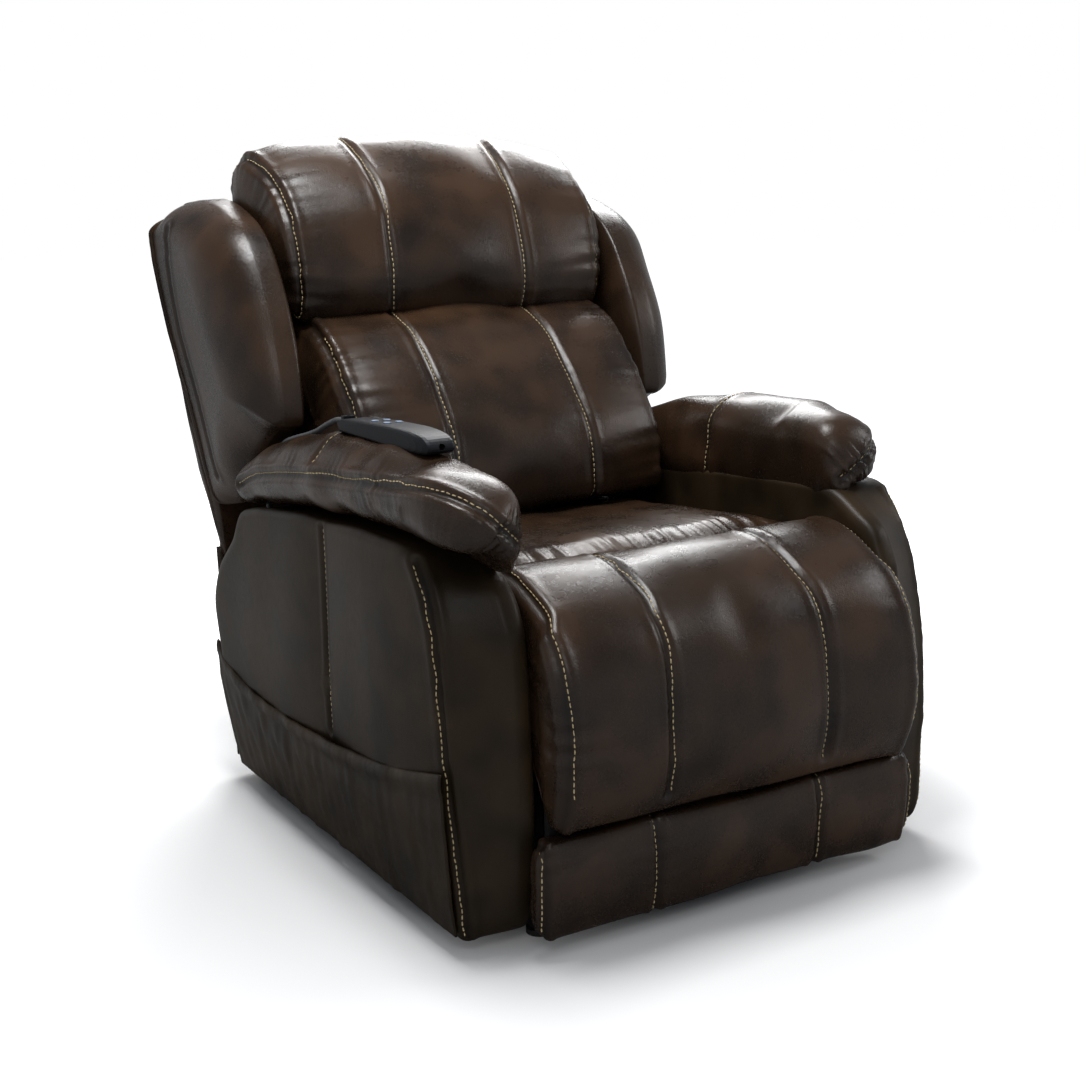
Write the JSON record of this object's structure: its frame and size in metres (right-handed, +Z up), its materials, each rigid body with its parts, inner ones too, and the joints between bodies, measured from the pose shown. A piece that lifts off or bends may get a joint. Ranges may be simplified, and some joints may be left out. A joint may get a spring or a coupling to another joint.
{
  "type": "lift recliner chair",
  "caption": "Powered lift and recline armchair with a padded back, pillow arms, a side pocket, a folding footrest, a corded handset and a four-bar lift base.",
  "frame": {"origin": "centre of the bounding box in X and Y, on the floor", "axes": "+Z up, the sitter faces -Y, the sitter's right arm with pocket and handset is at -X"},
  "size_m": [0.856, 1.135, 1.091],
  "materials": {
    "frame_steel": "satin",
    "glides": "matte",
    "timber": "matte",
    "spring_wire": "satin",
    "bright_rod": "satin",
    "motor_housing": "matte",
    "handset_shell": "satin",
    "cord": "matte",
    "button": "gloss",
    "panel_leather": "satin",
    "leather": "satin"
  },
  "bodies": {
    "base": {"base_runners": "frame_steel", "base_front_tube": "frame_steel", "base_middle_tube": "frame_steel", "base_rear_tube": "frame_steel", "base_glides": "glides", "base_link_brackets": "frame_steel"},
    "chair": {"chair_rails": "frame_steel", "chair_cross_tubes": "frame_steel", "chair_posts": "frame_steel", "lift_head_plates": "frame_steel", "footrest_pivot_plates": "frame_steel", "seat_boards": "timber", "seat_springs": "spring_wire", "seat_cushion": "leather", "knee_roll": "leather", "rear_panel": "panel_leather", "arm_outer_panel_left": "panel_leather", "arm_outer_panel_right": "panel_leather", "arm_inner_panel_left": "leather", "arm_inner_panel_right": "leather", "arm_front_left": "leather", "arm_front_right": "leather", "arm_frame_left": "timber", "arm_frame_right": "timber", "arm_pad_left": "leather", "arm_pad_right": "leather", "side_pocket": "panel_leather", "footrest_motor": "motor_housing", "recline_motor": "motor_housing", "handset": "handset_shell", "handset_cord": "cord", "power_inlet": "motor_housing"},
    "long_link": {"long_lift_links": "frame_steel", "lift_torque_tube": "frame_steel"},
    "short_link": {"short_lift_links": "frame_steel"},
    "lift_motor": {"lift_motor": "motor_housing"},
    "lift_rod": {"lift_rod": "bright_rod"},
    "drive_link": {"drive_links": "frame_steel", "drive_tube": "frame_steel"},
    "idler_link": {"idler_links": "frame_steel"},
    "carrier_link": {"carrier_links": "frame_steel"},
    "stay_link": {"stay_links": "frame_steel"},
    "ottoman": {"footrest_board": "timber", "footrest_brackets": "frame_steel", "footrest_pad": "leather", "lower_foot_pad": "leather"},
    "footrest_rod": {"footrest_rod": "bright_rod"},
    "recline_rod": {"recline_rod": "bright_rod"},
    "back": {"recline_tube": "frame_steel", "back_posts": "timber", "back_rails": "timber", "lumbar_cushion": "leather", "headrest_cushion": "leather", "wing_left": "leather", "wing_right": "leather", "outside_back": "panel_leather"},
    "button_back_down": {"button_back_down": "button"},
    "button_back_up": {"button_back_up": "button"},
    "button_chair_down": {"button_chair_down": "button"},
    "button_chair_up": {"button_chair_up": "button"}
  },
  "joints": [
    {"name": "lift", "type": "hinge", "parent": "base", "child": "long_link", "pos_m": [0, -0.3565, 0.06], "axis": [1, 0, 0], "range_deg": [0, 36]},
    {"name": "chair_tilt", "type": "hinge", "parent": "long_link", "child": "chair", "pos_m": [0, 0.2335, 0.14], "axis": [1, 0, 0], "range_deg": [-18.5, 0.5]},
    {"name": "short_link_turn", "type": "hinge", "parent": "base", "child": "short_link", "pos_m": [0, -0.4219, 0.0358], "axis": [1, 0, 0], "range_deg": [-0.5, 42]},
    {"name": "lift_motor_tip", "type": "hinge", "parent": "base", "child": "lift_motor", "pos_m": [0, 0.0935, 0.052], "axis": [1, 0, 0], "range_deg": [-0.5, 4.5]},
    {"name": "lift_rod_slide", "type": "slide", "parent": "lift_motor", "child": "lift_rod", "axis": [0, -0.9347, 0.3554], "range_m": [-0.001, 0.09]},
    {"name": "footrest", "type": "hinge", "parent": "chair", "child": "ottoman", "pos_m": [0, -0.5565, 0.511], "axis": [-1, 0, 0], "range_deg": [0, 80]},
    {"name": "drive_link_turn", "type": "hinge", "parent": "chair", "child": "drive_link", "pos_m": [0, -0.3615, 0.32], "axis": [-1, 0, 0], "range_deg": [-0.5, 80.5]},
    {"name": "idler_link_turn", "type": "hinge", "parent": "chair", "child": "idler_link", "pos_m": [0, -0.4072, 0.3648], "axis": [-1, 0, 0], "range_deg": [-0.5, 80.5]},
    {"name": "carrier_link_turn", "type": "hinge", "parent": "drive_link", "child": "carrier_link", "pos_m": [0, -0.2755, 0.109], "axis": [1, 0, 0], "range_deg": [-0.5, 80.5]},
    {"name": "stay_link_turn", "type": "hinge", "parent": "drive_link", "child": "stay_link", "pos_m": [0, -0.2755, 0.164], "axis": [1, 0, 0], "range_deg": [-0.5, 80.5]},
    {"name": "footrest_rod_slide", "type": "slide", "parent": "chair", "child": "footrest_rod", "axis": [0, -0.9999, -0.0129], "range_m": [-0.001, 0.061]},
    {"name": "recline", "type": "hinge", "parent": "chair", "child": "back", "pos_m": [0, 0.2735, 0.38], "axis": [-1, 0, 0], "range_deg": [0, 45]},
    {"name": "recline_rod_slide", "type": "slide", "parent": "chair", "child": "recline_rod", "axis": [0, 1, 0.0096], "range_m": [-0.086, 0.001]},
    {"name": "press_back_down", "type": "slide", "parent": "chair", "child": "button_back_down", "axis": [0, 0.0209, -0.9998], "range_m": [0, 0.0012], "stiffness_N_per_m": 600, "springref_m": -0.001},
    {"name": "press_back_up", "type": "slide", "parent": "chair", "child": "button_back_up", "axis": [0, 0.0209, -0.9998], "range_m": [0, 0.0012], "stiffness_N_per_m": 600, "springref_m": -0.001},
    {"name": "press_chair_down", "type": "slide", "parent": "chair", "child": "button_chair_down", "axis": [0, 0.0209, -0.9998], "range_m": [0, 0.0012], "stiffness_N_per_m": 600, "springref_m": -0.001},
    {"name": "press_chair_up", "type": "slide", "parent": "chair", "child": "button_chair_up", "axis": [0, 0.0209, -0.9998], "range_m": [0, 0.0012], "stiffness_N_per_m": 600, "springref_m": -0.001}
  ],
  "couplings": [
    {"joint": "chair_tilt", "follows": "lift", "ratio": -0.5},
    {"joint": "short_link_turn", "follows": "lift", "ratio": 1.1306},
    {"joint": "lift_motor_tip", "follows": "lift", "ratio": 0.10126},
    {"joint": "lift_rod_slide", "follows": "lift", "m_per_rad": 0.14047},
    {"joint": "drive_link_turn", "follows": "footrest", "ratio": 1},
    {"joint": "idler_link_turn", "follows": "footrest", "ratio": 1},
    {"joint": "carrier_link_turn", "follows": "footrest", "ratio": 1},
    {"joint": "stay_link_turn", "follows": "footrest", "ratio": 1},
    {"joint": "footrest_rod_slide", "follows": "footrest", "m_per_rad": 0.042738},
    {"joint": "recline_rod_slide", "follows": "recline", "m_per_rad": -0.10822}
  ]
}
